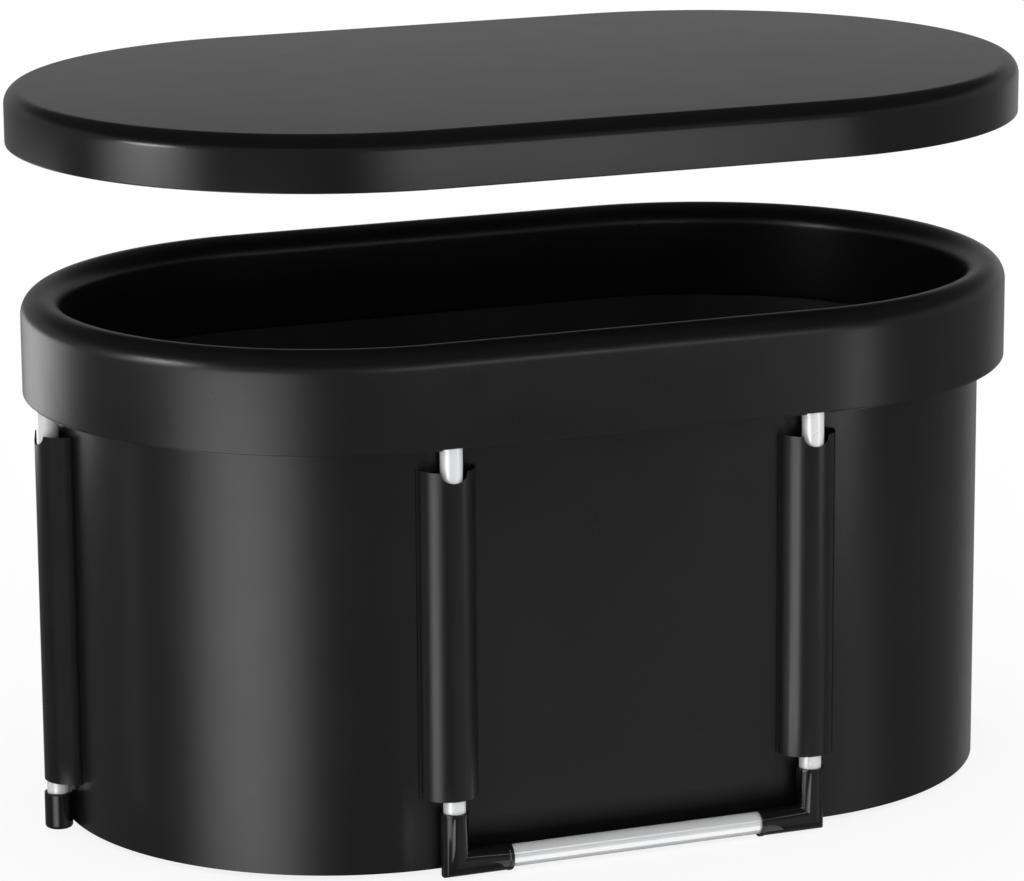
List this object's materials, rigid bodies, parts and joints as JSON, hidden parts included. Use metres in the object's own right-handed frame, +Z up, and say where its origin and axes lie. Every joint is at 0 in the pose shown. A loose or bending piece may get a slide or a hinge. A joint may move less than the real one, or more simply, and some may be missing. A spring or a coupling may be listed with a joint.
{
  "type": "cold plunge tub",
  "caption": "Oval fabric plunge tub with a padded rolled collar, hung on outside poles in welded sleeves, with floor bars, a rear drain and a padded lift-off lid.",
  "frame": {"origin": "on the floor, under the middle of the tub", "axes": "+X along the tub's length, to the right seen from the front; +Y to the rear, where the drain is; +Z up"},
  "size_m": [1.188, 0.73, 0.8404],
  "materials": {
    "coated_fabric": "dark charcoal coated fabric, smooth satin",
    "collar_fabric": "near-black coated fabric over foam, satin",
    "lid_fabric": "charcoal coated fabric over foam, satin",
    "liner_fabric": "black lining fabric, matt",
    "foam": "closed-cell foam, matt",
    "pole_metal": "bright satin tube",
    "fitting_plastic": "glossy black moulding",
    "drain_plastic": "black moulding, fine matt",
    "seal_rubber": "black rubber, matt"
  },
  "bodies": {
    "tub": {"outer_wall": "coated_fabric", "wall_foam": "foam", "inner_liner": "liner_fabric", "base_sheet": "coated_fabric", "floor_foam": "foam", "floor_liner": "liner_fabric", "collar_cover": "collar_fabric", "collar_foam": "foam", "collar_hem": "collar_fabric", "pole_front_left": "pole_metal", "pole_front_right": "pole_metal", "pole_right_end": "pole_metal", "pole_rear_right": "pole_metal", "pole_rear_left": "pole_metal", "pole_left_end": "pole_metal", "pole_plug_front_left": "fitting_plastic", "pole_plug_front_right": "fitting_plastic", "pole_plug_right_end": "fitting_plastic", "pole_plug_rear_right": "fitting_plastic", "pole_plug_rear_left": "fitting_plastic", "pole_plug_left_end": "fitting_plastic", "sleeve_front_left": "coated_fabric", "sleeve_front_right": "coated_fabric", "sleeve_right_end": "coated_fabric", "sleeve_rear_right": "coated_fabric", "sleeve_rear_left": "coated_fabric", "sleeve_left_end": "coated_fabric", "elbow_front_left": "fitting_plastic", "elbow_front_right": "fitting_plastic", "elbow_rear_right": "fitting_plastic", "elbow_rear_left": "fitting_plastic", "foot_cap_right_end": "fitting_plastic", "foot_cap_left_end": "fitting_plastic", "floor_bar_front": "pole_metal", "floor_bar_rear": "pole_metal", "drain_body": "drain_plastic", "drain_gasket": "seal_rubber", "drain_nut": "drain_plastic"},
    "lid": {"lid_cover": "lid_fabric", "lid_foam": "foam", "lid_lining": "liner_fabric", "lid_hem": "lid_fabric"},
    "drain_plug": {"drain_plug": "drain_plastic", "drain_plug_seal": "seal_rubber"}
  },
  "joints": [
    {"name": "lid_lift", "type": "slide", "parent": "tub", "child": "lid", "axis": [0, 0, 1], "range_m": [-0.2027, 0.15]},
    {"name": "drain_pull", "type": "slide", "parent": "tub", "child": "drain_plug", "axis": [0, 1, 0], "range_m": [0, 0.045]}
  ]
}
